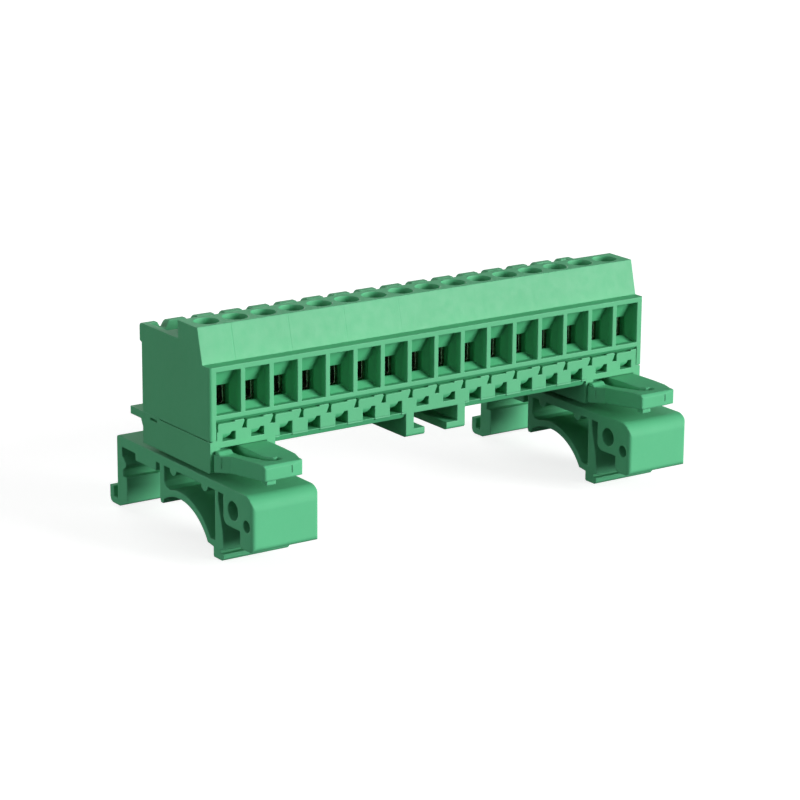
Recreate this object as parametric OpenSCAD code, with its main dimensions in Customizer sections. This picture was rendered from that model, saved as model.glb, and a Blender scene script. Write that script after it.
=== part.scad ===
// Rail-mounted terminal strip with a plug trough.
// A housing with one clamp per pole stands on a base strip, and two feet slide in the base's channels.
// X runs along the strip, +Y to the rear, +Z up. Sizes are in millimetres.
// Depths are measured from the housing's front face, heights from the underside of the feet.

/* [Poles] */
// Number of poles
poles = 16; // [6:1:18]
// Distance from pole to pole
pitch = 5.08; // [5:0.02:6.4]
// Material at each end outside the outermost pole
end_cheek = 0.8; // [0.6:0.02:1.6]
// Gap between mouldings that are clipped together
clip_gap = 0.12; // [0.06:0.01:0.25]
// Running gap round a sliding piece
slide_gap = 0.12; // [0.08:0.01:0.2]

/* [Housing] */
// Depth of the housing from front to rear
housing_d = 20.26; // [19:0.02:24]
// Height of the front ledge above the seam
ledge_h = 11.45; // [11:0.05:12.4]
// Depth of the front ledge
ledge_d = 2.1; // [1.4:0.05:2.4]
// Height of the rear top above the seam
top_h = 14.18; // [13.6:0.02:15.6]
// Height of the screw ridge above the seam
ridge_h = 17.02; // [16.2:0.02:19]
// Depth at which the ridge's flat top begins
ridge_front = 3.47; // [2.8:0.01:3.8]
// Depth of the ridge's rear face
ridge_rear = 9.15; // [8.9:0.05:9.6]
// Width of the housing's end walls where the comb is let in
end_wall = 1.1; // [0.8:0.05:1.6]
// Radius of the housing's upright front edges
corner_r = 0.5; // [0.3:0.05:0.8]

/* [Wire windows] */
// Width of a wire window
window_w = 4.3; // [3.8:0.05:4.5]
// Height of a wire window
window_h = 6.74; // [6:0.02:7.1]
// Height of a window's lower edge above the seam
window_sill = 3.91; // [3.6:0.01:4.3]
// Depth of a window's straight mouth
mouth_d = 1.25; // [0.8:0.05:1.5]
// Depth at which the funnel ends in the throat
throat_depth = 2.35; // [2:0.05:2.6]
// Width of the throat
throat_w = 3; // [2.6:0.05:3.2]
// Height of the throat
throat_h = 3.2; // [2.8:0.05:3.3]
// Height of the throat's floor above the seam
throat_sill = 4.75; // [4.6:0.05:5]
// Length of the throat's rim ahead of the wire space
throat_rim = 0.35; // [0.2:0.05:0.6]

/* [Plug trough] */
// Depth at which the plug trough begins
trough_front = 14; // [13:0.05:14.6]
// Thickness of the trough's rear wall
rear_wall = 0.96; // [0.8:0.02:1.3]
// Thickness of the trough's end walls
trough_end = 1; // [0.8:0.05:1.4]
// Height of the trough's floor above the seam
trough_floor = 4.75; // [4:0.05:6]
// How far the rim of the rear wall stands out
rim_out = 0.6; // [0.3:0.05:1]
// Height of that rim
rim_h = 2.85; // [2:0.05:4]
// Width of a coding notch at the top
notch_top_w = 2.1; // [1.6:0.05:2.6]
// Width of a coding notch at the bottom
notch_bottom_w = 0.85; // [0.6:0.05:1.4]
// Depth of a coding notch
notch_d = 1.1; // [0.6:0.05:1.8]

/* [Clamps] */
// Depth of the screw axis
screw_y = 6.3; // [6.2:0.02:6.5]
// Diameter of the screwdriver hole
driver_hole = 4; // [3.9:0.05:4.3]
// Gap round the screw's head in the driver hole
head_gap = 0.15; // [0.1:0.01:0.25]
// Thickness of the screw's head
head_t = 1.7; // [1.2:0.05:2.2]
// Width of the screwdriver slot
slot_w = 0.6; // [0.4:0.05:0.9]
// Depth of the screwdriver slot
slot_d = 0.9; // [0.5:0.05:1.1]
// Radial gap between the screw and the cage's tapped hole
thread_gap = 0.05; // [0.02:0.01:0.08]
// Width of a clamp cage
cage_w = 3.6; // [3.4:0.05:3.9]
// Depth of a clamp cage from front to rear
cage_d = 4.5; // [4:0.05:4.7]
// Thickness of the cage's sides
cage_side = 0.5; // [0.35:0.05:0.6]
// Thickness of the cage's bottom
cage_bottom = 0.7; // [0.5:0.05:1]
// Thickness of the cage's tapped top
cage_top = 1.1; // [0.8:0.05:1.3]
// Way that a cage rises when its screw is turned home
clamp_travel = 2.25; // [1.5:0.05:2.4]
// Thickness of the web under the screw's head
seat_web = 0.5; // [0.4:0.05:0.8]

/* [Contacts] */
// Thickness of the contact strip
strip_t = 0.8; // [0.6:0.05:0.9]
// Gap between the cage's sides and the screw or strip between them
strip_gap = 0.1; // [0.08:0.01:0.2]
// Width of a contact pin
pin_w = 1; // [0.8:0.05:1.05]
// Depth of the pins' front face
pin_front = 16.25; // [15.6:0.05:17]
// Length of a pin above the trough's floor
pin_l = 7.7; // [6:0.05:8.6]
// Length of a pin's tapered tip
pin_tip = 1.2; // [0.8:0.05:1.6]
// Depth at which the strip turns down behind the clamp
strip_drop = 9.6; // [9.3:0.05:11]
// Height of the strip's lower run above the seam
strip_low = 2.8; // [2:0.05:3]

/* [Base] */
// Height of the base strip
base_h = 5.05; // [4.9:0.05:6]
// Thickness of the base's top plate
plate_t = 1.2; // [1:0.05:1.5]
// Inner width of a foot channel
channel_w = 8.4; // [8:0.05:9]
// Thickness of a channel's legs
leg_t = 1.48; // [1.2:0.02:1.64]
// Thickness of a channel's lips
lip_t = 1.25; // [1:0.05:1.5]
// Gap between a channel's two lips
lip_gap = 4.2; // [3.6:0.05:4.6]
// Depth of the cross wall between two channels
cross_wall_y = 10.5; // [8:0.1:13]
// Thickness of the cross wall
cross_wall_t = 1.3; // [0.8:0.05:2]
// How far the rear flange stands out
flange_out = 3.85; // [2:0.05:5]
// Thickness of the rear flange
flange_t = 1.25; // [0.9:0.05:1.6]
// How far the front bar hangs below the plate between the channels
sill_drop = 0.7; // [0.4:0.05:1.2]
// Depth of the bevel on the sill's lower front edge
sill_bevel_in = 0.55; // [0.2:0.05:0.8]
// Height of the bevel on the sill's lower front edge
sill_bevel_up = 1.05; // [0.4:0.05:1.2]
// Radius of the lower front edges of the channel sides
leg_r = 0.5; // [0.2:0.05:0.8]
// How far the base stands back from the housing at its right end
end_inset = 0.3; // [0.1:0.05:0.5]
// Height of the groove under the housing's ends
groove_h = 0.16; // [0.1:0.02:0.3]
// Depth to the rear end of that groove
groove_l = 15.1; // [12:0.1:15.5]
// Depth to the small recess in the base's end faces
recess_y = 15.8; // [15.6:0.05:17]
// Length of that recess
recess_l = 2.2; // [1.5:0.05:3]

/* [Comb] */
// Depth of the comb from front to rear
comb_d = 3; // [2.6:0.05:3.2]
// Height of the comb's teeth above the seam
tooth_h = 1.3; // [1:0.05:1.6]
// Height of the tiles on the teeth
tile_h = 1.25; // [0.9:0.05:1.4]
// Width of the pocket under a tile
pocket_w = 2.3; // [1.8:0.05:2.8]
// Depth of that pocket
pocket_d = 3.2; // [2.8:0.05:4]
// Height of the lug that stands up at a tile's end
lug_h = 0.22; // [0.1:0.02:0.3]

/* [Feet] */
// Width of a foot
foot_w = 11.77; // [11:0.01:12.4]
// Height of a foot
foot_h = 12.05; // [11.8:0.05:13]
// Gap between a foot and the base's lips
foot_gap = 0.75; // [0.4:0.05:1.2]
// How far the foot's front face lies ahead of the housing
foot_front = 12; // [11.6:0.05:13]
// Radius of the foot's upright front edges
foot_edge = 0.7; // [0.2:0.05:0.75]
// Length of the front block ahead of the rail
block_l = 3.5; // [3.2:0.05:4]
// How far the front block reaches over the rail
block_rear = 4.8; // [4.5:0.05:5]
// Height of the front block's sole
block_sole = 3.5; // [3:0.05:4]
// Radius of the front block's upper front edge
block_r = 2.2; // [1.5:0.05:2.6]
// Diameter of the larger hole in the front block
block_hole = 3; // [2:0.05:3.2]
// Distance of the larger hole behind the rail's front edge
hole_back = 2.05; // [1.8:0.05:2.3]
// Diameter of the smaller hole in the front block
block_hole_small = 1.9; // [1.5:0.05:2.2]
// Distance of the smaller hole ahead of the rail's front edge
small_hole_ahead = 1.8; // [1.6:0.05:2]
// Thickness of the foot's top bar
bar_t = 1.4; // [1.1:0.05:1.6]
// Depth of the front of the stop under the bar
stop_y = 16.45; // [16:0.05:18]
// How far the stop hangs below the bar
stop_h = 1.45; // [1:0.05:1.8]
// Length of the window between the stop and the rear column
rear_window = 4.1; // [3:0.05:5]
// How far the front arm's foot lies ahead of the housing
arm_reach = 3.6; // [3.4:0.02:3.64]
// Depth of the arched spring's crown
arch_y = 9.2; // [9:0.05:9.4]
// Height of the crown's underside
arch_top = 6.46; // [6.3:0.02:6.6]
// Inner radius of the arched spring
arch_r = 9.66; // [9.5:0.02:9.8]
// Thickness of the arched spring
arch_t = 1.1; // [0.9:0.05:1.2]
// Depth of the middle leg's front face
leg_y = 13.95; // [13.8:0.05:14.2]
// Width of the rail that the foot takes
rail_w = 35.4; // [35:0.1:36]
// Height of the rail seat above the foot's underside
rail_seat = 6.1; // [5.8:0.05:6.4]
// Height of the slot for the rail's edge
rail_slot = 1.1; // [1.05:0.05:1.4]
// Thickness of the wall behind that slot
hook_wall = 1.75; // [1.5:0.05:2.2]
// How far the release finger stands out at the rear
finger_out = 2.5; // [2:0.05:3]
// Length of the foot's head in the channel
head_l = 18.5; // [14:0.1:19.5]

/* [Tongue] */
// Reach of the tongue ahead of the housing
tongue_reach = 12.6; // [12.2:0.1:14]
// Thickness of the tongue's tip
tongue_t = 2.3; // [2.1:0.05:2.6]
// Rise of the tongue from the base to its tip
tongue_rise = 0.37; // [0.2:0.01:0.6]
// Width of the slot that frees the tongue's spring arm
tongue_slot = 1.55; // [1.2:0.05:1.8]
// Height of the spring arm at its free end
arm_h = 2.8; // [2.4:0.05:3]
// How far the arm's free end lies below the tongue's top
arm_sag = 0.68; // [0.4:0.02:1]
// How far the arm's nose stands out beside the tongue
nose_out = 1.25; // [0.8:0.05:1.4]

/* [Hidden] */
$fn = 32;

plastic = [0.20, 0.62, 0.40];
foot_plastic = [0.18, 0.58, 0.37];
steel = [0.66, 0.66, 0.64];
plated = [0.75, 0.72, 0.62];

// An overlap that lets cuts pass cleanly through a face
over = 0.2;

// Lengths along the strip
half_l = poles * pitch / 2 + end_cheek;
comb_half = half_l - end_wall - clip_gap;
channel_c = (poles / 2 - 1) * pitch;
channels = [-channel_c, 0, channel_c];
strip_w = cage_w - 2 * cage_side - 2 * strip_gap;
screw_d = strip_w;
head_d = driver_hole - 2 * head_gap;

// Heights
base_z = foot_h + foot_gap;
seam_z = base_z + base_h;
plate_z = seam_z - plate_t;
lip_z = base_z + lip_t;
ledge_z = seam_z + ledge_h;
top_z = seam_z + top_h;
ridge_z = seam_z + ridge_h;
floor_z = seam_z + trough_floor;
comb_z = seam_z + tooth_h + tile_h;

// Clamp stack: cage at its lowest, strip inside it, screw above
cage_z = seam_z + throat_sill - cage_bottom - 0.1;
cage_open = throat_h + 1.2;
cage_h = cage_bottom + cage_open + cage_top;
strip_z = cage_z + cage_bottom + cage_open - 0.2 - strip_t;
chamber_top = cage_z + cage_h + clamp_travel + slide_gap;
seat_z = chamber_top + seat_web;
low_z = seam_z + strip_low;

// Plug trough
trough_rear = housing_d - rear_wall;

// The foot's rail hooks
notch_front = block_l - foot_front;
hook_end = notch_front + rail_w;
foot_rear = hook_end + hook_wall;
hook_rear = foot_rear + finger_out;

// The tongue's head in its channel
head_half = channel_w / 2 - slide_gap;
head_top = plate_z - slide_gap;
head_low = lip_z + slide_gap;
slot_rear = 1.8;
slot_left = -2.35;

// Thickness of the legs that close the base's two ends
end_leg_t = half_l - channel_c - channel_w / 2;

// The origin lies under the middle of the whole outline
plan_mid_y = (hook_rear - tongue_reach) / 2;

// Middle of pole k along the strip
function pole_x(k) = (k - (poles + 1) / 2) * pitch;

// True where a pole stands over a foot channel
function over_channel(k) = len([for (c = channels) if (abs(pole_x(k) - c) < channel_w / 2) c]) > 0;

// Moves a sub-part from the strip's own depths to the frame
module in_frame() {
    translate([0, -plan_mid_y, 0]) children();
}

// A box between two corners
module box(low, high) {
    translate(low) cube(high - low);
}

// A depth and height outline, drawn out along X about x = 0
module along_strip(width) {
    rotate([90, 0, 90]) linear_extrude(width, center = true) children();
}

// One copy at each pole
module at_poles() {
    for (k = [1:poles]) translate([pole_x(k), 0, 0]) children();
}

// A plan outline with its corners rounded on all four sides
module round_rect(low, high, r) {
    translate([low.x + r, low.y]) square([high.x - low.x - 2 * r, high.y - low.y]);
    translate([low.x, low.y + r]) square([high.x - low.x, high.y - low.y - 2 * r]);
    for (x = [low.x + r, high.x - r], y = [low.y + r, high.y - r]) translate([x, y]) circle(r);
}

// Side outline of the housing with its ledge, ridge and rounded rear rim
module housing_outline() {
    rim_y = housing_d + rim_out;
    rim_r = 0.6;
    polygon(concat(
        [[-over, seam_z], [-over, ledge_z], [ledge_d, ledge_z], [ridge_front, ridge_z], [ridge_rear, ridge_z]],
        [[ridge_rear, top_z]],
        [for (a = [90:-15:0]) [rim_y - rim_r + rim_r * cos(a), top_z - rim_r + rim_r * sin(a)]],
        [[rim_y, top_z - rim_h], [housing_d, top_z - rim_h - rim_out / 3], [housing_d, seam_z]]
    ));
}

// Plan between two ends with the upright front edges rounded
module front_rounded(half_w, front, rear, r) {
    polygon(concat(
        [[half_w, rear], [-half_w, rear]],
        [for (a = [180:15:270]) [-half_w + r + r * cos(a), front + r + r * sin(a)]],
        [for (a = [270:15:360]) [half_w - r + r * cos(a), front + r + r * sin(a)]]
    ));
}

// Wire window: a straight mouth, a funnel to the throat, then the wire space ahead of the cage
module wire_window() {
    sill = seam_z + window_sill;
    lintel = sill + window_h;
    throat = seam_z + throat_sill;
    roof = throat + throat_h;
    half_w = window_w / 2;
    half_t = throat_w / 2;
    half_c = cage_w / 2 + slide_gap;
    room = 0.6;
    intersection() {
        along_strip(window_w + over) polygon([
            [-over, sill], [mouth_d - over, sill], [throat_depth, throat], [screw_y, throat],
            [screw_y, roof], [throat_depth, roof], [mouth_d, lintel - over], [0, lintel], [-over, lintel]
        ]);
        linear_extrude(ridge_z) polygon([
            [-half_w, -over], [half_w, -over], [half_w, mouth_d], [half_t, throat_depth],
            [half_t, screw_y], [-half_t, screw_y], [-half_t, throat_depth], [-half_w, mouth_d]
        ]);
    }
    box([-half_c, throat_depth + throat_rim, throat - room], [half_c, screw_y, roof + room]);
}

// Chamber for the cage, with the seat and the driver hole for its screw
module clamp_chamber() {
    half_w = cage_w / 2 + slide_gap;
    half_d = cage_d / 2 + slide_gap;
    box([-half_w, screw_y - half_d, seam_z - over], [half_w, screw_y + half_d, chamber_top]);
    translate([0, screw_y, chamber_top - over]) {
        cylinder(d = screw_d + 2 * slide_gap, h = seat_web + 2 * over, $fn = 24);
    }
    translate([0, screw_y, seat_z]) cylinder(d = driver_hole, h = ridge_z - seat_z + over, $fn = 24);
}

// Way for the contact, open downwards, and the hole that its pin stands in
module contact_way() {
    gap = clip_gap;
    half_w = strip_w / 2 + gap;
    half_pin = pin_w / 2 + gap;
    drop_rear = strip_drop + strip_t + gap;
    pin_rear = pin_front + strip_t + gap;
    high = strip_z + strip_t + gap;
    box([-half_w, screw_y, strip_z - gap], [half_w, drop_rear, high]);
    box([-half_w, strip_drop - gap, seam_z - over], [half_w, drop_rear, high]);
    box([-half_w, strip_drop - gap, seam_z - over], [half_w, pin_rear, low_z + strip_t + gap]);
    box([-half_pin, pin_front - gap, low_z], [half_pin, pin_rear, floor_z + over]);
}

// Coding notch in the rear wall, wider at the top
module coding_notch() {
    rear = housing_d + rim_out + over;
    translate([0, rear, 0]) rotate([90, 0, 0]) linear_extrude(rear - trough_rear + over) polygon([
        [-notch_bottom_w / 2, top_z - notch_d], [notch_bottom_w / 2, top_z - notch_d],
        [notch_top_w / 2, top_z + 0.01], [-notch_top_w / 2, top_z + 0.01]
    ]);
}

// Space at the front where the base's comb is let in, with the chamfer above it
module comb_space() {
    width = 2 * (half_l - end_wall);
    edge = comb_z + clip_gap;
    bevel = 0.55;
    along_strip(width) polygon([
        [-over, seam_z - over], [comb_d + clip_gap, seam_z - over], [comb_d + clip_gap, edge],
        [bevel, edge], [0, edge + bevel], [-over, edge + bevel]
    ]);
}

module terminal_housing() {
    trough_half = half_l - trough_end;
    color(plastic) in_frame() difference() {
        intersection() {
            along_strip(2 * half_l + over) housing_outline();
            linear_extrude(ridge_z + over) {
                front_rounded(half_l, 0, housing_d + rim_out + over, corner_r);
            }
        }
        comb_space();
        box([-trough_half, trough_front, floor_z], [trough_half, trough_rear, top_z + over]);
        at_poles() {
            wire_window();
            clamp_chamber();
            contact_way();
            coding_notch();
        }
    }
}

// Front tile of one pole: square on one side, undercut on the other, with a lug at that end
module comb_tile() {
    low = seam_z + tooth_h;
    translate([0, comb_d, 0]) rotate([90, 0, 0]) linear_extrude(comb_d) polygon([
        [-0.38 * pitch, low - over], [0.43 * pitch, low - over], [0.55 * pitch, comb_z],
        [-0.35 * pitch, comb_z], [-0.38 * pitch, comb_z - over]
    ]);
    box([0.2 * pitch, 0, comb_z - over], [0.53 * pitch, 0.2, comb_z + lug_h]);
}

// Pocket under a tile, with a shallower floor where a channel lies below
module comb_pocket(shallow) {
    top = seam_z + tooth_h - over;
    floor_at = shallow ? seam_z - 0.25 : plate_z + 0.3;
    box([-pocket_w / 2, -over, floor_at], [pocket_w / 2, pocket_d, top]);
}

// Rounded lip that hangs into the pocket beside the tile
module pocket_lip() {
    top = seam_z + tooth_h - 0.1;
    low = seam_z + 0.05;
    left = -pocket_w / 2 - 0.05;
    intersection() {
        along_strip(pocket_w + over) polygon([
            [0, top], [0, top - 0.3], [0.1, top - 0.6], [0.3, top - 0.9], [0.7, low], [comb_d, low],
            [comb_d, top]
        ]);
        translate([0, comb_d + over, 0]) rotate([90, 0, 0]) linear_extrude(comb_d + 2 * over) polygon([
            [left, top + over], [left, low - over], [left + 0.65, low - over], [left + 1.35, top - 0.6],
            [left + 1.8, top + over]
        ]);
    }
}

// Comb along the front of the base
module comb() {
    intersection() {
        union() {
            box([-half_l, 0, plate_z], [half_l, comb_d, seam_z + tooth_h]);
            at_poles() comb_tile();
        }
        box([-comb_half, -over, plate_z], [comb_half, comb_d, comb_z + 1]);
    }
}

// Bar under the comb between two neighbouring channels
module sill_bar() {
    near = channel_w / 2 + leg_t / 2;
    low = plate_z - sill_drop;
    translate([channel_c / 2, 0, 0]) along_strip(channel_c - 2 * near) polygon([
        [0, plate_z + over], [0, low], [comb_d, low], [comb_d, plate_z + over]
    ]);
}

// Long bevel along the lower front edge of the comb, between two foot channels
module sill_bevel() {
    near = channel_w / 2 + leg_t;
    low = plate_z - sill_drop;
    translate([channel_c / 2, 0, 0]) along_strip(channel_c - 2 * near) polygon([
        [-over, low - over], [sill_bevel_in, low - over], [sill_bevel_in, low],
        [0, low + sill_bevel_up], [-over, low + sill_bevel_up]
    ]);
}

// One side of a foot channel: a leg with its lip turned inwards
module channel_side(thick) {
    half_in = channel_w / 2;
    gusset = 0.6;
    edge = [for (a = [270:-15:180]) [leg_r + leg_r * cos(a), base_z + leg_r + leg_r * sin(a)]];
    translate([half_in + thick / 2, 0, 0]) along_strip(thick) polygon(concat(edge, [
        [0, seam_z - plate_t / 2], [housing_d + gusset, seam_z - plate_t / 2],
        [housing_d + gusset, seam_z - flange_t], [housing_d, seam_z - flange_t - 2 * gusset],
        [housing_d, base_z]
    ]));
    lip_w = half_in + thick / 2 - lip_gap / 2;
    translate([lip_gap / 2 + lip_w / 2, 0, 0]) along_strip(lip_w) polygon(concat(edge, [
        [0, lip_z], [housing_d, lip_z], [housing_d, base_z]
    ]));
}

// Cross wall between two neighbouring channels
module cross_wall() {
    near = channel_w / 2 + leg_t / 2;
    rear = cross_wall_y + cross_wall_t;
    box([near, cross_wall_y, base_z], [channel_c - near, rear, seam_z - plate_t / 2]);
}

// Groove and recess in the end faces, for an end that stands at the given length
module end_marks(edge) {
    groove_d = 0.35;
    recess_d = 0.6;
    recess_top = seam_z - 0.45;
    box([edge - groove_d, -over, seam_z - groove_h], [half_l + over, groove_l, seam_z + over]);
    box([edge - recess_d, recess_y, recess_top - 0.4], [half_l + over, recess_y + recess_l, recess_top]);
}

// The thin slice by which the base stands back at its right end
module right_end_cut() {
    rear = housing_d + flange_out + over;
    box([half_l - end_inset, -over, base_z - over], [half_l + over, rear, seam_z + over]);
}

module base_strip() {
    color(plastic) in_frame() {
        difference() {
            union() {
                box([-half_l, 0, plate_z], [half_l, housing_d, seam_z]);
                box([-half_l, housing_d - over, seam_z - flange_t], [half_l, housing_d + flange_out, seam_z]);
                comb();
                for (i = [0:2]) translate([channels[i], 0, 0]) {
                    channel_side(i == 2 ? end_leg_t : leg_t);
                    mirror([1, 0, 0]) channel_side(i == 0 ? end_leg_t : leg_t);
                }
                for (side = [0, 1]) mirror([side, 0, 0]) {
                    cross_wall();
                    sill_bar();
                }
            }
            for (k = [1:poles]) translate([pole_x(k), 0, 0]) comb_pocket(over_channel(k));
            for (side = [0, 1]) mirror([side, 0, 0]) sill_bevel();
            right_end_cut();
            end_marks(half_l - end_inset);
            mirror([1, 0, 0]) end_marks(half_l);
        }
        at_poles() pocket_lip();
    }
}

// Front block of the foot with its two holes and the step that takes the rail's front edge
module foot_block() {
    rear = notch_front + block_rear;
    heel_r = 1.3;
    difference() {
        union() {
            round_rect([-foot_front, block_sole], [notch_front, foot_h - block_r - 0.3], 0.9);
            round_rect([-foot_front, rail_seat], [rear - heel_r, foot_h], block_r);
            round_rect([notch_front - heel_r, rail_seat], [rear, foot_h], heel_r);
        }
        translate([notch_front + hole_back, rail_seat + 2.65]) circle(d = block_hole, $fn = 24);
        translate([notch_front - small_hole_ahead, rail_seat + 1.2]) circle(d = block_hole_small, $fn = 24);
    }
}

// Top bar of the foot with its stop and the two nubs over the arch
module foot_bar() {
    under = foot_h - bar_t;
    nub_r = 0.95;
    stop_end = hook_end - rear_window;
    translate([-arm_reach - 2.4, under]) square([foot_rear + arm_reach + 1.8, bar_t]);
    round_rect([foot_rear - 3, under], [foot_rear, foot_h], 0.4 * bar_t);
    translate([stop_y, under - stop_h]) square([stop_end - stop_y, stop_h + bar_t / 2]);
    translate([stop_end - over, under - 0.3]) square([rear_window + 2 * over, 0.3 + bar_t / 2]);
    translate([1.8, under]) circle(r = nub_r);
    translate([arch_y + 2, under]) circle(r = nub_r);
}

// Front arm that stands down between the block and the arch
module foot_arm() {
    root = foot_h - bar_t / 2;
    toe = -arm_reach;
    difference() {
        polygon([
            [toe + 1.4, root], [toe + 1.5, 9.6], [toe + 0.9, 7.1], [toe + 0.3, 4.8], [toe, 1.8], [toe, 0.4],
            [toe + 0.4, 0], [toe + 2.65, 0], [toe + 2.85, 0.2], [toe + 2.85, 1.6], [toe + 4.2, 1.8],
            [toe + 4.5, 1.95], [toe + 4.5, 2.7], [toe + 2.3, 2.7], [toe + 2.3, root]
        ]);
        translate([toe - 0.1, 1.1]) square([0.9, 0.65]);
    }
}

// Arched spring between the arm and the middle leg
module foot_arch() {
    root = foot_h - bar_t / 2;
    mid = [arch_y, arch_top - arch_r];
    intersection() {
        difference() {
            translate(mid) circle(arch_r + arch_t, $fn = 96);
            translate(mid) circle(arch_r, $fn = 96);
        }
        translate([0, 1.8]) square([leg_y + 0.5, foot_h]);
    }
    polygon([
        [leg_y, root], [leg_y, 8.05], [leg_y - 0.6, 7.35], [leg_y - 1.9, 7.1], [leg_y - 1.9, 6.3],
        [leg_y + 0.1, 5.3], [leg_y + 0.35, 4.45], [leg_y + 1, 4.45], [leg_y + 1.25, 4.95],
        [leg_y + 1.25, 9.2], [leg_y + 1.4, root]
    ]);
}

// Rear column with the slot for the rail's edge and the finger that springs it back
module foot_column() {
    root = foot_h - bar_t / 2;
    slot_low = rail_seat + 0.5 - rail_slot;
    slot_high = rail_seat + 0.5;
    polygon([
        [hook_end + 0.2, root], [hook_end + 0.2, slot_high + 2.3], [hook_end - 1, slot_high + 1.1],
        [hook_end - 0.9, slot_high + 0.7], [hook_end, slot_high], [hook_end, slot_low],
        [hook_end - 1.2, slot_low], [hook_end - 1.2, 1.3], [hook_end + 1.1, 0.35], [hook_rear - 0.8, 0.35],
        [hook_rear - 0.25, 0.6], [hook_rear, 1.15], [hook_rear, 3.15], [foot_rear + 1.35, 3.15],
        [foot_rear + 1.35, 1.45], [foot_rear, 1.45], [foot_rear, root]
    ]);
}

// Plan of the tongue and its spring arm: tapered on one side, with the arm's nose on the other
module tongue_plan() {
    tip = -tongue_reach;
    tip_r = 0.4;
    polygon(concat(
        [[head_half, slot_rear + over], [head_half, tip + 10], [head_half - 0.15, tip + 7.1]],
        [[head_half - 0.5, tip + 3.6], [head_half - 1.25, tip + 1.4], [head_half - 1.4, tip + 0.3], [0.7, tip]],
        [for (a = [270:-15:180]) [-head_half + tip_r + tip_r * cos(a), tip + tip_r + tip_r * sin(a)]],
        [[-head_half, -3.2], [-head_half - nose_out, -0.8], [-head_half - nose_out, -slide_gap]],
        [[-1.5, -slide_gap], [-1.5, slot_rear + over]]
    ));
}

// Plan of the slot beside the spring arm, hooked at its front end
module tongue_slot_plan() {
    tip = -tongue_reach;
    left = slot_left;
    polygon([
        [left, slot_rear + 1], [left, -1.8], [left - 0.05, tip + 8.1], [left + 0.25, tip + 5.2],
        [left + 0.35, tip + 3.7], [left + 0.75, tip + 2.6], [left + 1.45, tip + 2.1],
        [left + 2.55, tip + 2.2], [left + 3, tip + 2.8], [left + 2.85, tip + 3.5],
        [left + 2.05, tip + 3.6], [left + 1.45, tip + 4.4], [left + 1.15, tip + 5.5],
        [left + tongue_slot - 0.05, tip + 9.3], [left + tongue_slot, slot_rear + 1]
    ]);
}

// Tongue ahead of the base, rising to its tip, with the spring arm, its boss and the peg under the tip
module tongue() {
    tip = -tongue_reach;
    tip_top = head_top + tongue_rise;
    tip_low = tip_top - tongue_t;
    arm_top = head_top - arm_sag;
    arm_low = arm_top - arm_h;
    split = slot_left + tongue_slot / 2;
    slot_end = tip + 2.2;
    end_top = head_top + tongue_rise * slot_end / tip;
    bevel = 0.41;
    side = 2 * (head_half + nose_out + 1);
    peg_x = 0.64 - head_half;
    difference() {
        intersection() {
            along_strip(side) polygon([
                [slot_rear + over, arm_low], [slot_rear + over, head_top], [0, head_top],
                [tip + bevel, tip_top], [tip, tip_top - bevel], [tip, tip_low], [0, arm_low]
            ]);
            linear_extrude(tip_top + over) difference() {
                tongue_plan();
                tongue_slot_plan();
            }
        }
        translate([split - side / 2, 0, 0]) along_strip(side) polygon([
            [0.5, arm_top], [-2.2, arm_top + 0.05], [slot_end, end_top], [slot_end, tip_top + 1],
            [0.5, tip_top + 1]
        ]);
        translate([split + side / 2, 0, 0]) along_strip(side) polygon([
            [slot_rear + 1, head_low], [0, head_low], [tip - 0.5, tip_low - 0.03], [tip - 0.5, arm_low - 1],
            [slot_rear + 1, arm_low - 1]
        ]);
        box([0.62, tip - over, tip_top - 1.65], [0.76, tip + 0.25, tip_top - 0.5]);
    }
    translate([(slot_left - head_half - nose_out) / 2, 0, 0]) {
        along_strip(head_half + nose_out + slot_left - 0.6) polygon([
            [-slide_gap, arm_low + 1], [-slide_gap, head_top - 0.18], [-0.8, head_top - 0.18],
            [-1.7, arm_top - 0.1], [-1.7, arm_low + 1]
        ]);
    }
    box([peg_x, tip + 0.5, tip_low - 0.85], [peg_x + 1.6, tip + 1.9, tip_low + 0.5]);
}

// Head and neck that run in the base's channel
module foot_head() {
    neck = lip_gap / 2 - slide_gap;
    box([-head_half, slot_rear, head_low], [head_half, head_l, head_top]);
    box([-neck, slot_rear, foot_h - over], [neck, head_l, head_low + slide_gap]);
}

// A whole foot, one moulding, about its channel's middle
module foot() {
    intersection() {
        along_strip(foot_w + over) {
            foot_block();
            foot_bar();
            foot_arm();
            foot_arch();
            foot_column();
        }
        translate([0, 0, -over]) linear_extrude(foot_h + 2 * over) {
            front_rounded(foot_w / 2, -foot_front, hook_rear + over, foot_edge);
        }
    }
    foot_head();
    tongue();
}

module foot_left() {
    color(foot_plastic) in_frame() translate([-channel_c, 0, 0]) foot();
}

module foot_right() {
    color(foot_plastic) in_frame() translate([channel_c, 0, 0]) foot();
}

// Slotted screw that hangs in its seat and reaches down to the contact strip
module clamp_screw(k) {
    tip_z = strip_z + strip_t + 0.05;
    head_z = seat_z + 0.03;
    point = 0.5;
    $fn = 24;
    color(steel) in_frame() translate([pole_x(k), screw_y, 0]) difference() {
        union() {
            translate([0, 0, tip_z]) cylinder(d1 = screw_d - 2 * point, d2 = screw_d, h = point);
            translate([0, 0, tip_z + point]) cylinder(d = screw_d, h = head_z - tip_z - point + 0.1);
            translate([0, 0, head_z]) cylinder(d = head_d, h = head_t);
        }
        rotate([0, 0, 37 * k]) translate([-head_d, -slot_w / 2, head_z + head_t - slot_d]) {
            cube([2 * head_d, slot_w, slot_d + over]);
        }
    }
}

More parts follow.
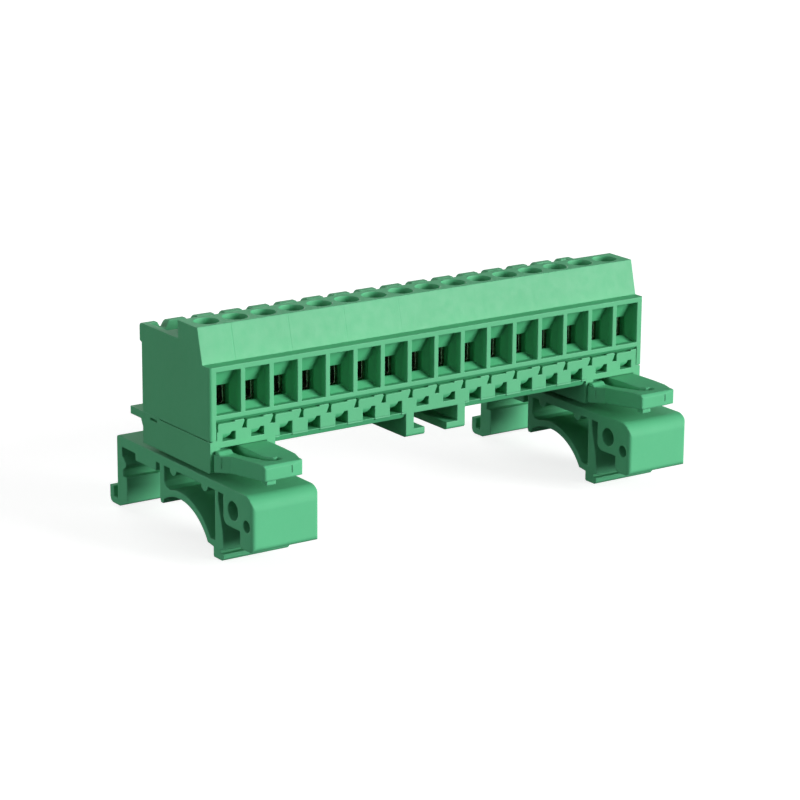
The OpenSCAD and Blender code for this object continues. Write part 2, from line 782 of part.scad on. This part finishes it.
// Folded cage round the contact strip, tapped for the screw
module clamp_cage(k) {
    half_w = cage_w / 2;
    inner = half_w - cage_side;
    fold = 0.45;
    color(steel) in_frame() translate([pole_x(k), screw_y, cage_z]) difference() {
        translate([0, cage_d / 2, 0]) rotate([90, 0, 0]) linear_extrude(cage_d) difference() {
            round_rect([-half_w, 0], [half_w, cage_h], fold, $fn = 16);
            round_rect([-inner, cage_bottom], [inner, cage_bottom + cage_open], fold - 0.15, $fn = 16);
        }
        translate([0, 0, cage_h - cage_top - over]) {
            cylinder(d = screw_d + 2 * thread_gap, h = cage_top + 2 * over, $fn = 24);
        }
    }
}

// Contact: a strip through the cage that turns down, runs to the rear and carries the pin
module contact(k) {
    end_y = pin_front + strip_t;
    low = low_z;
    high = strip_z + strip_t;
    pin_z = floor_z + pin_l;
    color(plated) in_frame() translate([pole_x(k), 0, 0]) {
        along_strip(strip_w) polygon([
            [screw_y - cage_d / 2 + 0.1, strip_z], [strip_drop, strip_z], [strip_drop, low], [end_y, low],
            [end_y, low + strip_t], [strip_drop + strip_t, low + strip_t], [strip_drop + strip_t, high],
            [screw_y - cage_d / 2 + 0.1, high]
        ]);
        translate([0, end_y, 0]) rotate([90, 0, 0]) linear_extrude(strip_t) polygon([
            [-pin_w / 2, low], [pin_w / 2, low], [pin_w / 2, pin_z - pin_tip], [pin_w / 4, pin_z],
            [-pin_w / 4, pin_z], [-pin_w / 2, pin_z - pin_tip]
        ]);
    }
}

terminal_housing();
base_strip();
foot_left();
foot_right();
for (k = [1:poles]) {
    clamp_screw(k);
    clamp_cage(k);
    contact(k);
}
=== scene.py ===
"""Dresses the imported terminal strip: moulded plastic, plated clamps and contacts, a pale studio."""

import bmesh
import bpy
from bpy.props import FloatProperty, FloatVectorProperty, IntProperty, PointerProperty
from mathutils import Matrix, Vector


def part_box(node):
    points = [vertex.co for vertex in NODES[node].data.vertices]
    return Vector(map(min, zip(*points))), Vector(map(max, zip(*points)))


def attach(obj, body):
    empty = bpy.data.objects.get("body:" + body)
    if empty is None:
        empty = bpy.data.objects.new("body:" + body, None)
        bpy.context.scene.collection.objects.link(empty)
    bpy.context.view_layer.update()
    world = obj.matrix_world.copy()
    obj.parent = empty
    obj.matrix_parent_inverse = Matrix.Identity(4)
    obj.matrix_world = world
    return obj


bl_info = {
    "name": "Rail Terminal Strip",
    "version": (1, 0, 0),
    "blender": (4, 5, 0),
    "location": "View3D > Sidebar > Terminal Strip",
    "description": "Finishes of a rail-mounted terminal strip and the studio it stands in",
    "category": "Object",
}

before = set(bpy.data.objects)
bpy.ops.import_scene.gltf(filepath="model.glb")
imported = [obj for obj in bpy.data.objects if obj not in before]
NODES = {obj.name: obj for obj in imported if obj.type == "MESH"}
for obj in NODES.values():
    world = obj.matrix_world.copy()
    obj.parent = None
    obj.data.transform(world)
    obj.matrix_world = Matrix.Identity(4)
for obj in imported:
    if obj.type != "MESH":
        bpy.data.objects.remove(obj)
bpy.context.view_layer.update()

# Directions that the lamps shine from.
KEY_FROM = (0.55, -0.79, 0.27)
FILL_FROM = (-1.0, -0.02, 0.06)
BACK_FROM = (0.10, 0.98, 0.12)

# The camera's own axes at the photograph's angle, and the sensor that its lens is stated for.
CAMERA_RIGHT = (0.824852, -0.565306, 0.006978)
CAMERA_UP = (0.148241, 0.228181, 0.962267)
CAMERA_BACK = (-0.545567, -0.792693, 0.272017)
SENSOR_WIDTH = 36.0

# Half the floor's side, and the slope of view within which ground light turns into sky light.
FLOOR_HALF = 4.0
HORIZON = 0.4

# Noise scales per metre: flow marks, cloudy sheen and spark-eroded grain of the plastic,
# drawing marks and cloudy plating of the metal.
FLOW_SCALE = 55.0
SHEEN_SCALE = 700.0
GRAIN_SCALE = 9000.0
DRAWN_SCALE = 2500.0
PLATING_SCALE = 900.0

# Relief of the plastic's grain and of the metal's drawing marks, in metres.
GRAIN_RELIEF = 0.00004
DRAWN_RELIEF = 0.00002

PLASTIC_IOR = 1.55
EDGE_SAMPLES = 6

# Weld lines: a line's half width as a share of the pitch, the heights between which the lines
# begin above the ledge, and the places on X between which they grow faint.
WELD_WIDTH = 0.012
WELD_START = (0.0293, 0.0296)
WELD_FADE = (-0.036, 0.012)


class StripPlastic(bpy.types.PropertyGroup):
    """Moulded plastic of the housing and the base strip."""

    colour: FloatVectorProperty(
        name="Colour",
        description="Body colour of the housing and base",
        subtype="COLOR",
        size=3,
        min=0.0,
        max=1.0,
        default=(0.050, 0.396, 0.166),
    )
    shade: FloatVectorProperty(
        name="Shade",
        description="Deeper tone where the melt flowed slowly",
        subtype="COLOR",
        size=3,
        min=0.0,
        max=1.0,
        default=(0.044, 0.368, 0.152),
    )
    # Edge: lighter colour that paints a highlight along the edges; the grain also takes a little of
    # it at random.
    edge: FloatVectorProperty(
        name="Edge",
        description="Lighter tone along rubbed edges",
        subtype="COLOR",
        size=3,
        min=0.0,
        max=1.0,
        default=(0.13, 0.53, 0.285),
    )
    roughness: FloatProperty(
        name="Roughness",
        description="Mean roughness of the spark-eroded surface",
        subtype="FACTOR",
        min=0.0,
        max=1.0,
        default=0.66,
    )
    specular: FloatProperty(
        name="Specular",
        description="Strength of the clear reflection on the plastic",
        subtype="FACTOR",
        min=0.0,
        max=1.0,
        default=0.8,
    )
    edge_radius: FloatProperty(
        name="Edge Radius",
        description="Radius that the mould leaves on every edge",
        unit="LENGTH",
        min=0.0,
        default=0.00022,
    )
    weld_pitch: FloatProperty(
        name="Weld Line Pitch",
        description="Distance between the weld lines on the front slope",
        unit="LENGTH",
        min=0.001,
        default=0.01016,
    )


class CombTips(bpy.types.PropertyGroup):
    """Lower ends of the comb's teeth, in front of the base strip's bevel."""

    pitch: FloatProperty(
        name="Pitch",
        description="Distance from one pocket of the comb to the next",
        unit="LENGTH",
        min=0.004,
        default=0.00508,
    )
    pocket: FloatProperty(
        name="Pocket Width",
        description="Width of a pocket between two teeth",
        unit="LENGTH",
        min=0.001,
        default=0.0023,
    )
    pockets: IntProperty(
        name="Pockets",
        description="Number of pockets in the comb between two foot channels",
        min=1,
        default=5,
    )
    row_start: FloatProperty(
        name="Row Start",
        description="Distance from the middle of the strip to the inner end of a row of teeth",
        unit="LENGTH",
        min=0.0,
        default=0.00568,
    )
    row_end: FloatProperty(
        name="Row End",
        description="Distance from the middle of the strip to the outer end of a row of teeth",
        unit="LENGTH",
        min=0.0,
        default=0.02988,
    )
    root_z: FloatProperty(
        name="Root",
        description="Height at which the bevel under the comb starts",
        unit="LENGTH",
        default=0.0170,
    )
    tip_z: FloatProperty(
        name="Tip",
        description="Height of the teeth's lower ends",
        unit="LENGTH",
        default=0.01668,
    )
    tip_depth: FloatProperty(
        name="Tip Depth",
        description="Depth of a tooth at its lower end, where it meets the bevel",
        unit="LENGTH",
        min=0.0,
        default=0.00018,
    )


class FootPlastic(bpy.types.PropertyGroup):
    """Moulded plastic of the two rail feet."""

    colour: FloatVectorProperty(
        name="Colour",
        description="Body colour of the feet",
        subtype="COLOR",
        size=3,
        min=0.0,
        max=1.0,
        default=(0.080, 0.448, 0.208),
    )
    shade: FloatVectorProperty(
        name="Shade",
        description="Deeper tone in the feet's flow marks",
        subtype="COLOR",
        size=3,
        min=0.0,
        max=1.0,
        default=(0.071, 0.414, 0.191),
    )
    # Edge: lighter colour that paints a highlight along the feet's edges; the grain also takes a
    # little of it at random.
    edge: FloatVectorProperty(
        name="Edge",
        description="Lighter tone along rubbed edges",
        subtype="COLOR",
        size=3,
        min=0.0,
        max=1.0,
        default=(0.15, 0.55, 0.31),
    )
    roughness: FloatProperty(
        name="Roughness",
        description="Mean roughness of the feet",
        subtype="FACTOR",
        min=0.0,
        max=1.0,
        default=0.74,
    )
    specular: FloatProperty(
        name="Specular",
        description="Strength of the clear reflection on the plastic",
        subtype="FACTOR",
        min=0.0,
        max=1.0,
        default=0.45,
    )
    edge_radius: FloatProperty(
        name="Edge Radius",
        description="Radius that the mould leaves on every edge",
        unit="LENGTH",
        min=0.0,
        default=0.00035,
    )


class ClampMetal(bpy.types.PropertyGroup):
    """Plated steel of the screws and cages, and tinned strip of the contacts."""

    screw_colour: FloatVectorProperty(
        name="Screw",
        description="Zinc plating of the screws",
        subtype="COLOR",
        size=3,
        min=0.0,
        max=1.0,
        default=(0.58, 0.57, 0.53),
    )
    cage_colour: FloatVectorProperty(
        name="Cage",
        description="Warm-toned plating of the cages",
        subtype="COLOR",
        size=3,
        min=0.0,
        max=1.0,
        default=(0.40, 0.32, 0.25),
    )
    contact_colour: FloatVectorProperty(
        name="Contact",
        description="Tin plating of the contacts",
        subtype="COLOR",
        size=3,
        min=0.0,
        max=1.0,
        default=(0.68, 0.65, 0.57),
    )
    # Edge: bright colour that paints a glint along the edges of the screws, cages and contacts.
    edge_highlight_colour: FloatVectorProperty(
        name="Edge",
        description="Bright metal along the edges of the clamps",
        subtype="COLOR",
        size=3,
        min=0.0,
        max=1.0,
        default=(0.98, 0.88, 0.80),
    )
    screw_roughness: FloatProperty(
        name="Screw Roughness",
        description="Mean roughness of the screws",
        subtype="FACTOR",
        min=0.0,
        max=1.0,
        default=0.30,
    )
    cage_roughness: FloatProperty(
        name="Cage Roughness",
        description="Mean roughness of the cages",
        subtype="FACTOR",
        min=0.0,
        max=1.0,
        default=0.22,
    )
    contact_roughness: FloatProperty(
        name="Contact Roughness",
        description="Mean roughness of the contacts",
        subtype="FACTOR",
        min=0.0,
        max=1.0,
        default=0.26,
    )
    edge_radius: FloatProperty(
        name="Edge Radius",
        description="Radius along the edges of the screws and contacts",
        unit="LENGTH",
        min=0.0,
        default=0.00012,
    )
    cage_edge_radius: FloatProperty(
        name="Cage Edge Radius",
        description="Radius along the folded edges of the cages",
        unit="LENGTH",
        min=0.0,
        default=0.0002,
    )


class StudioSettings(bpy.types.PropertyGroup):
    """Floor, lamps and camera."""

    floor_colour: FloatVectorProperty(
        name="Floor",
        description="Colour of the floor sheet",
        subtype="COLOR",
        size=3,
        min=0.0,
        max=1.0,
        default=(0.40, 0.40, 0.40),
    )
    floor_glow: FloatProperty(
        name="Floor Glow",
        description="Light that the floor sheet gives off, as a lit table does",
        min=0.0,
        default=0.80,
    )
    key_strength: FloatProperty(
        name="Key",
        description="Strength of the distant lamp at the front right, in watts per square metre",
        min=0.0,
        default=4.25,
    )
    key_spread: FloatProperty(
        name="Key Spread",
        description="Angle across which the distant lamp shines",
        subtype="ANGLE",
        min=0.0,
        default=0.50,
    )
    fill_strength: FloatProperty(
        name="Fill",
        description="Strength of the broad, weak lamp at the left, in watts per square metre",
        min=0.0,
        default=1.32,
    )
    fill_spread: FloatProperty(
        name="Fill Spread",
        description="Angle across which the lamps at the left and behind shine",
        subtype="ANGLE",
        min=0.0,
        default=0.70,
    )
    back_strength: FloatProperty(
        name="Back",
        description="Strength of the broad lamp behind the strip, in watts per square metre",
        min=0.0,
        default=2.2,
    )
    sky: FloatProperty(
        name="Sky",
        description="Strength of the even light from above",
        min=0.0,
        default=0.20,
    )
    ground_light: FloatProperty(
        name="Ground Light",
        description="Strength of the even light from below",
        min=0.0,
        default=0.05,
    )
    camera_place: FloatVectorProperty(
        name="Camera",
        description="Place of the camera",
        subtype="TRANSLATION",
        size=3,
        default=(-0.267735, -0.388330, 0.149209),
    )
    lens: FloatProperty(
        name="Lens",
        description="Focal length of the camera on a 36 mm wide sensor, in millimetres",
        min=1.0,
        default=137.687,
    )


class Shader:
    """A new material whose nodes are added and linked by short calls."""

    def __init__(self, name):
        self.material = bpy.data.materials.new(name)
        self.material.use_nodes = True
        self.tree = self.material.node_tree
        self.surface = self.tree.nodes["Principled BSDF"]

    def add(self, kind, settings=None, **inputs):
        """Adds a node, sets its properties, and sets or links its inputs."""
        node = self.tree.nodes.new(kind)
        for key, value in (settings or {}).items():
            setattr(node, key, value)
        for key, value in inputs.items():
            self.feed(node, key.replace("_", " "), value)
        return node

    def feed(self, node, name, value):
        """Links a socket to an input, or sets the input's own value."""
        socket = node.inputs[int(name)] if name.isdigit() else node.inputs[name]
        if isinstance(value, bpy.types.NodeSocket):
            self.tree.links.new(value, socket)
        else:
            socket.default_value = value

    def math(self, operation, a, b=0.0):
        """Adds a Math node and returns its output."""
        node = self.add("ShaderNodeMath", {"operation": operation})
        self.feed(node, "0", a)
        self.feed(node, "1", b)
        return node.outputs[0]

    def mix(self, factor, a, b):
        """Adds a colour Mix node and returns its result."""
        node = self.add("ShaderNodeMix", {"data_type": "RGBA"})
        self.tree.links.new(factor, node.inputs[0])
        for socket, value in ((node.inputs[6], a), (node.inputs[7], b)):
            if isinstance(value, bpy.types.NodeSocket):
                self.tree.links.new(value, socket)
            else:
                socket.default_value = (*value, 1.0)
        return node.outputs[2]

    def span(self, value, low, high, to_low, to_high):
        """Maps a value from one span to another and returns it clamped."""
        node = self.add(
            "ShaderNodeMapRange",
            Value=value,
            From_Min=low,
            From_Max=high,
            To_Min=to_low,
            To_Max=to_high,
        )
        return node.outputs[0]

    def noise(self, place, scale, detail=2.0, roughness=0.5):
        """Adds a noise texture and returns its value."""
        node = self.add(
            "ShaderNodeTexNoise", Vector=place, Scale=scale, Detail=detail, Roughness=roughness
        )
        return node.outputs[0]

    def rounded(self, radius):
        """Adds a Bevel node and returns the normal that it rounds at the edges."""
        return self.add("ShaderNodeBevel", {"samples": EDGE_SAMPLES}, Radius=radius).outputs[0]

    def relief(self, height, strength, distance, normal):
        """Adds a Bump node on top of a normal and links it to the surface."""
        node = self.add(
            "ShaderNodeBump", Strength=strength, Distance=distance, Height=height, Normal=normal
        )
        self.feed(self.surface, "Normal", node.outputs[0])

    def on_edge(self, rounded, most):
        """Share of the painted edge highlight, from 0 on the faces to most on the edges."""
        geometry = self.add("ShaderNodeNewGeometry")
        facing = self.add("ShaderNodeVectorMath", {"operation": "DOT_PRODUCT"})
        self.feed(facing, "0", rounded)
        self.feed(facing, "1", geometry.outputs["Normal"])
        return self.span(facing.outputs["Value"], 0.995, 0.80, 0.0, most)


def dress(names, material):
    """Gives a material to CAD nodes by name."""
    for name in names:
        slots = NODES[name].data.materials
        slots.clear()
        slots.append(material)


def named(prefix):
    """CAD nodes whose names start with a prefix."""
    names = sorted(name for name in NODES if name.startswith(prefix))
    if not names:
        raise RuntimeError(f"the frame has no node whose name starts with {prefix}")
    return names


def add_prism(shape, ends, outline):
    """Adds a prism between two places on X with an outline in Y and Z."""
    near, far = ([shape.verts.new((x, y, z)) for y, z in outline] for x in ends)
    shape.faces.new(near)
    shape.faces.new(far)
    for i, corner in enumerate(near):
        shape.faces.new((corner, near[i - 1], far[i - 1], far[i]))


def moulded_plastic(name, look, weld_pitch=None):
    """Spark-eroded moulded plastic with flow marks, a painted highlight along the edges and, on
    request, weld lines.
    """
    shader = Shader(name)
    surface = shader.surface
    place = shader.add("ShaderNodeTexCoord").outputs["Object"]
    flow = shader.noise(place, FLOW_SCALE, 3.0, 0.55)
    cloud = shader.noise(place, SHEEN_SCALE, 3.0, 0.6)
    grain = shader.noise(place, GRAIN_SCALE, 2.0, 0.6)

    rounded = shader.rounded(look.edge_radius)
    # Painted highlight: this mask is 0 on the faces and grows along the edges, where the rounded
    # normal parts from the face's own, and the cloud noise varies it.
    on_edge = shader.on_edge(rounded, 0.55)
    painted_highlight = shader.math("MULTIPLY", on_edge, shader.span(cloud, 0.3, 0.7, 0.4, 1.0))

    body = shader.mix(shader.span(flow, 0.35, 0.65, 0.0, 1.0), look.shade, look.colour)
    body = shader.mix(shader.span(grain, 0.45, 0.8, 0.0, 0.10), body, look.edge)
    # Paints the highlight along the edges in the lighter edge colour.
    body = shader.mix(painted_highlight, body, look.edge)
    shader.feed(surface, "Base Color", body)

    rough = shader.span(cloud, 0.3, 0.7, look.roughness - 0.03, look.roughness + 0.03)
    shader.feed(surface, "Roughness", rough)

    height = shader.math("MULTIPLY", grain, 0.55)
    height = shader.math("ADD", height, shader.math("MULTIPLY", cloud, 0.30))
    if weld_pitch:
        height = shader.math("SUBTRACT", height, weld_lines(shader, place, weld_pitch))
    shader.relief(height, 0.35, GRAIN_RELIEF, rounded)
    surface.inputs["IOR"].default_value = PLASTIC_IOR
    surface.inputs["Specular IOR Level"].default_value = look.specular
    return shader.material


def weld_lines(shader, place, pitch):
    """Depth of the fine weld lines on the front slope, which are clearest at the left end."""
    axes = shader.add("ShaderNodeSeparateXYZ", Vector=place)
    along = shader.math("ADD", shader.math("DIVIDE", axes.outputs[0], pitch), 0.5)
    offset = shader.math("SUBTRACT", along, shader.math("ROUND", along))
    near = shader.span(shader.math("ABSOLUTE", offset), 0.0, WELD_WIDTH, 1.0, 0.0)
    above_ledge = shader.span(axes.outputs[2], *WELD_START, 0.0, 1.0)
    fade = shader.span(axes.outputs[0], *WELD_FADE, 2.6, 0.15)
    return shader.math("MULTIPLY", shader.math("MULTIPLY", near, above_ledge), fade)


def plated_metal(name, colour, edge, roughness, stretch, edge_radius):
    """Plated metal with fine drawing marks, cloudy plating and a painted highlight along the edges.
    """
    shader = Shader(name)
    surface = shader.surface
    place = shader.add("ShaderNodeTexCoord").outputs["Object"]
    drawn = shader.add("ShaderNodeMapping", Vector=place, Scale=stretch).outputs[0]
    marks = shader.noise(drawn, DRAWN_SCALE, 3.0, 0.65)
    cloud = shader.noise(place, PLATING_SCALE, 3.0, 0.6)
    rounded = shader.rounded(edge_radius)
    dull = tuple(0.62 * c for c in colour)
    tone = shader.mix(shader.span(cloud, 0.35, 0.75, 0.0, 0.8), colour, dull)
    # Painted highlight: the metal's colour turns bright along its edges.
    tone = shader.mix(shader.on_edge(rounded, 1.0), tone, edge)
    shader.feed(surface, "Base Color", tone)
    rough = shader.span(marks, 0.3, 0.7, roughness - 0.08, roughness + 0.12)
    shader.feed(surface, "Roughness", rough)
    shader.relief(marks, 0.25, DRAWN_RELIEF, rounded)
    surface.inputs["Metallic"].default_value = 1.0
    return shader.material


def floor_sheet(look):
    """Pale matt floor with a trace of unevenness."""
    shader = Shader("pale_floor")
    place = shader.add("ShaderNodeTexCoord").outputs["Object"]
    cloud = shader.noise(place, 6.0, 2.0)
    dim = tuple(0.985 * c for c in look.floor_colour)
    shader.feed(shader.surface, "Base Color", shader.mix(cloud, tuple(look.floor_colour), dim))
    shader.surface.inputs["Roughness"].default_value = 0.85
    shader.surface.inputs["Emission Color"].default_value = (1.0, 1.0, 1.0, 1.0)
    shader.surface.inputs["Emission Strength"].default_value = look.floor_glow
    return shader.material


class STRIP_OT_housing(bpy.types.Operator):
    """Finish the terminal housing and the base strip in moulded plastic"""

    bl_idname = "strip.housing"
    bl_label = "Housing and Base"

    def execute(self, context):
        look = context.scene.strip_plastic
        dress(["terminal_housing"], moulded_plastic("housing_plastic", look, look.weld_pitch))
        dress(["base_strip"], moulded_plastic("base_plastic", look))
        return {"FINISHED"}


class STRIP_OT_comb_tips(bpy.types.Operator):
    """Let the teeth of the base strip's comb end below the start of the bevel"""

    bl_idname = "strip.comb_tips"
    bl_label = "Comb Tips"

    def execute(self, context):
        look = context.scene.comb_tips
        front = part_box("base_strip")[0][1]
        outline = [
            (front, look.root_z),
            (front, look.tip_z),
            (front + look.tip_depth, look.tip_z),
        ]
        middles = [(i + 1.5) * look.pitch for i in range(look.pockets)]
        starts = [look.row_start] + [x + look.pocket / 2.0 for x in middles]
        ends = [x - look.pocket / 2.0 for x in middles] + [look.row_end]
        shape = bmesh.new()
        for side in (-1.0, 1.0):
            for start, end in zip(starts, ends):
                add_prism(shape, (side * start, side * end), outline)
        bmesh.ops.recalc_face_normals(shape, faces=shape.faces)
        mesh = bpy.data.meshes.new("comb_tips")
        shape.to_mesh(mesh)
        shape.free()
        mesh.materials.append(NODES["base_strip"].data.materials[0])
        tips = bpy.data.objects.new("comb_tips", mesh)
        context.scene.collection.objects.link(tips)
        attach(tips, "strip")
        return {"FINISHED"}


class STRIP_OT_feet(bpy.types.Operator):
    """Finish the two rail feet in moulded plastic"""

    bl_idname = "strip.feet"
    bl_label = "Rail Feet"

    def execute(self, context):
        look = context.scene.foot_plastic
        dress(["foot_left", "foot_right"], moulded_plastic("foot_plastic", look))
        return {"FINISHED"}


class STRIP_OT_screws(bpy.types.Operator):
    """Finish the clamp screws in plated steel"""

    bl_idname = "strip.screws"
    bl_label = "Clamp Screws"

    def execute(self, context):
        look = context.scene.clamp_metal
        finish = plated_metal(
            "screw_steel",
            look.screw_colour,
            look.edge_highlight_colour,
            look.screw_roughness,
            (1.0, 1.0, 0.15),
            look.edge_radius,
        )
        dress(named("clamp_screw_"), finish)
        return {"FINISHED"}


class STRIP_OT_cages(bpy.types.Operator):
    """Finish the clamp cages in plated steel"""

    bl_idname = "strip.cages"
    bl_label = "Clamp Cages"

    def execute(self, context):
        look = context.scene.clamp_metal
        finish = plated_metal(
            "cage_steel",
            look.cage_colour,
            look.edge_highlight_colour,
            look.cage_roughness,
            (1.0, 1.0, 0.2),
            look.cage_edge_radius,
        )
        dress(named("clamp_cage_"), finish)
        return {"FINISHED"}


class STRIP_OT_contacts(bpy.types.Operator):
    """Finish the contacts in tinned strip"""

    bl_idname = "strip.contacts"
    bl_label = "Contacts"

    def execute(self, context):
        look = context.scene.clamp_metal
        finish = plated_metal(
            "contact_metal",
            look.contact_colour,
            look.edge_highlight_colour,
            look.contact_roughness,
            (1.0, 0.2, 1.0),
            look.edge_radius,
        )
        dress(named("contact_"), finish)
        return {"FINISHED"}


class STRIP_OT_studio(bpy.types.Operator):
    """Set up the floor, the lamps and the camera"""

    bl_idname = "strip.studio"
    bl_label = "Studio"

    def execute(self, context):
        look = context.scene.studio
        self.floor(context, look)
        self.lamp(context, "key_lamp", KEY_FROM, look.key_strength, look.key_spread)
        self.lamp(context, "fill_lamp", FILL_FROM, look.fill_strength, look.fill_spread)
        self.lamp(context, "back_lamp", BACK_FROM, look.back_strength, look.fill_spread)
        self.sky(context, look)
        self.camera(context, look)
        context.scene.view_settings.view_transform = "Standard"
        return {"FINISHED"}

    def floor(self, context, look):
        """Lays a wide sheet under the feet."""
        mesh = bpy.data.meshes.new("studio_floor")
        signs = ((-1, -1), (1, -1), (1, 1), (-1, 1))
        corners = [(x * FLOOR_HALF, y * FLOOR_HALF, 0.0) for x, y in signs]
        mesh.from_pydata(corners, [], [(0, 1, 2, 3)])
        sheet = bpy.data.objects.new("studio_floor", mesh)
        context.scene.collection.objects.link(sheet)
        mesh.materials.append(floor_sheet(look))
        sheet.visible_diffuse = False
        sheet.visible_glossy = False

    def lamp(self, context, name, source, strength, spread):
        """Hangs a broad distant lamp that shines from a direction."""
        data = bpy.data.lights.new(name, "SUN")
        data.energy = strength
        data.angle = spread
        lamp = bpy.data.objects.new(name, data)
        lamp.location = source
        lamp.rotation_euler = (-Vector(source)).to_track_quat("-Z", "Y").to_euler()
        context.scene.collection.objects.link(lamp)

    def sky(self, context, look):
        """Surrounds the scene with white light that is weaker from below."""
        world = bpy.data.worlds.new("studio_sky")
        world.use_nodes = True
        tree = world.node_tree
        back = tree.nodes["Background"]
        back.inputs["Color"].default_value = (1.0, 1.0, 1.0, 1.0)
        place = tree.nodes.new("ShaderNodeTexCoord")
        axes = tree.nodes.new("ShaderNodeSeparateXYZ")
        level = tree.nodes.new("ShaderNodeMapRange")
        tree.links.new(place.outputs["Generated"], axes.inputs[0])
        tree.links.new(axes.outputs[2], level.inputs["Value"])
        level.inputs["From Min"].default_value = -HORIZON
        level.inputs["From Max"].default_value = HORIZON
        level.inputs["To Min"].default_value = look.ground_light
        level.inputs["To Max"].default_value = look.sky
        tree.links.new(level.outputs[0], back.inputs["Strength"])
        context.scene.world = world

    def camera(self, context, look):
        """Places the camera at the photograph's angle."""
        data = bpy.data.cameras.new("camera")
        data.lens = look.lens
        data.sensor_width = SENSOR_WIDTH
        data.clip_start = 0.01
        camera = bpy.data.objects.new("camera", data)
        turn = Matrix((CAMERA_RIGHT, CAMERA_UP, CAMERA_BACK)).transposed().to_4x4()
        camera.matrix_world = Matrix.Translation(look.camera_place) @ turn
        context.scene.collection.objects.link(camera)
        context.scene.camera = camera


class STRIP_PT_panel(bpy.types.Panel):
    """Lists the strip's operators and the settings that they use"""

    bl_idname = "STRIP_PT_panel"
    bl_label = "Terminal Strip"
    bl_space_type = "VIEW_3D"
    bl_region_type = "UI"
    bl_category = "Terminal Strip"

    def draw(self, context):
        column = self.layout.column(align=True)
        for operator in OPERATORS:
            column.operator(operator.bl_idname)
        for name, group in SETTINGS.items():
            box = self.layout.box()
            box.label(text=name.replace("_", " ").title())
            for key in group.__annotations__:
                box.prop(getattr(context.scene, name), key)


OPERATORS = (
    STRIP_OT_housing,
    STRIP_OT_comb_tips,
    STRIP_OT_feet,
    STRIP_OT_screws,
    STRIP_OT_cages,
    STRIP_OT_contacts,
    STRIP_OT_studio,
)
SETTINGS = {
    "strip_plastic": StripPlastic,
    "comb_tips": CombTips,
    "foot_plastic": FootPlastic,
    "clamp_metal": ClampMetal,
    "studio": StudioSettings,
}
CLASSES = (*SETTINGS.values(), *OPERATORS, STRIP_PT_panel)


def register():
    """Registers the classes and hangs the settings on the scene."""
    for cls in CLASSES:
        bpy.utils.register_class(cls)
    for name, group in SETTINGS.items():
        setattr(bpy.types.Scene, name, PointerProperty(type=group))


def unregister():
    """Takes the settings and classes away again."""
    for name in SETTINGS:
        delattr(bpy.types.Scene, name)
    for cls in reversed(CLASSES):
        bpy.utils.unregister_class(cls)


def main():
    """Builds the looks in order."""
    register()
    bpy.ops.strip.housing()
    bpy.ops.strip.comb_tips()
    bpy.ops.strip.feet()
    bpy.ops.strip.screws()
    bpy.ops.strip.cages()
    bpy.ops.strip.contacts()
    bpy.ops.strip.studio()


if __name__ == "__main__":
    main()
